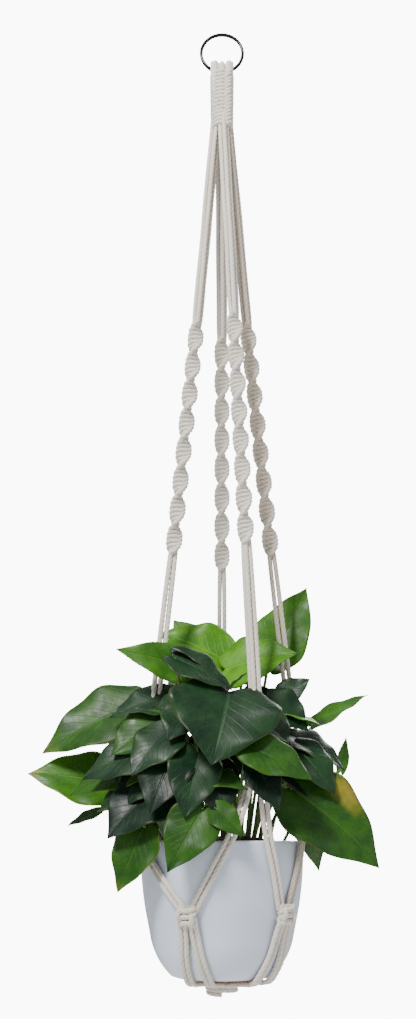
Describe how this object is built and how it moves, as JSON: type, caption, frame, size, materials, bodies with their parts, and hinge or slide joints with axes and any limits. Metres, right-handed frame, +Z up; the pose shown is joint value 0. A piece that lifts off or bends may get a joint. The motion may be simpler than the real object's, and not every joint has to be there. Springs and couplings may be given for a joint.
{
  "type": "hanging planter",
  "caption": "Corded macrame hanger on a steel ring, with spiral-knotted arms and a knotted cradle that holds a round pot and a trailing house plant.",
  "frame": {"origin": "hook seat, the highest point of the inside of the ring's eye", "axes": "+Z up, the ring's eye is looked through along Y, -Y is the front"},
  "size_m": [0.3512, 0.24, 1.05],
  "materials": {
    "ring_black": "polished black",
    "cotton_cord": "twisted natural cotton cord",
    "pot_glaze": "smooth glossy white",
    "potting_soil": "dark damp potting mix",
    "leaf_green": "waxy green leaf"
  },
  "bodies": {
    "ring": {"hanging_ring": "ring_black"},
    "hanger_top": {"core_cords": "cotton_cord", "ring_loops": "cotton_cord", "wrap_sleeve": "cotton_cord"},
    "cradle": {"back_arm_lower_cords": "cotton_cord", "back_arm_spiral": "cotton_cord", "back_arm_upper_cords": "cotton_cord", "back_left_base_cords": "cotton_cord", "back_left_side_knot": "cotton_cord", "back_right_base_cords": "cotton_cord", "back_right_side_knot": "cotton_cord", "front_arm_lower_cords": "cotton_cord", "front_arm_spiral": "cotton_cord", "front_arm_upper_cords": "cotton_cord", "front_left_base_cords": "cotton_cord", "front_left_side_knot": "cotton_cord", "front_right_base_cords": "cotton_cord", "front_right_side_knot": "cotton_cord", "gathering_knot": "cotton_cord", "left_arm_lower_cords": "cotton_cord", "left_arm_spiral": "cotton_cord", "left_arm_upper_cords": "cotton_cord", "right_arm_lower_cords": "cotton_cord", "right_arm_spiral": "cotton_cord", "right_arm_upper_cords": "cotton_cord"},
    "pot": {"glazed_pot": "pot_glaze"},
    "plant": {"leaf_back_centre": "leaf_green", "leaf_back_left_drooping": "leaf_green", "leaf_back_left_low": "leaf_green", "leaf_back_left_top": "leaf_green", "leaf_back_left_upper": "leaf_green", "leaf_back_right_drooping": "leaf_green", "leaf_back_right_low": "leaf_green", "leaf_back_right_top": "leaf_green", "leaf_back_right_upper": "leaf_green", "leaf_front_great": "leaf_green", "leaf_front_low_bright": "leaf_green", "leaf_front_low_small": "leaf_green", "leaf_front_middle": "leaf_green", "leaf_front_right_long": "leaf_green", "leaf_left_hanging": "leaf_green", "leaf_left_inner_bright": "leaf_green", "leaf_left_inner_dark": "leaf_green", "leaf_left_large": "leaf_green", "leaf_left_outer": "leaf_green", "leaf_left_slim": "leaf_green", "leaf_lower_left_dark": "leaf_green", "leaf_right_bright_low": "leaf_green", "leaf_right_dark": "leaf_green", "leaf_right_drooping": "leaf_green", "leaf_right_inner_dark": "leaf_green", "leaf_right_narrow": "leaf_green", "leaf_right_silver_tip": "leaf_green", "leaf_upper_curl": "leaf_green", "leaf_upper_left_broad": "leaf_green", "leaf_upper_left_pointed": "leaf_green", "leaf_upper_right_bright": "leaf_green", "leaf_upper_right_tall": "leaf_green", "leaf_upper_small_dark": "leaf_green", "root_ball": "potting_soil"}
  },
  "joints": [
    {"name": "ring_swing", "type": "hinge", "parent": "ring", "child": "hanger_top", "pos_m": [0, 0, -0.04475], "axis": [1, 0, 0], "range_deg": [-30, 30]},
    {"name": "cord_twist", "type": "hinge", "parent": "hanger_top", "child": "cradle", "pos_m": [0, 0, -0.1165], "axis": [0, 0, 1], "range_deg": [-90, 90], "stiffness_Nm_per_rad": 0.02},
    {"name": "pot_lift", "type": "slide", "parent": "cradle", "child": "pot", "axis": [0, 0, 1], "range_m": [0, 0.01]},
    {"name": "plant_lift", "type": "slide", "parent": "pot", "child": "plant", "axis": [0, 0, 1], "range_m": [0, 0.03]}
  ]
}
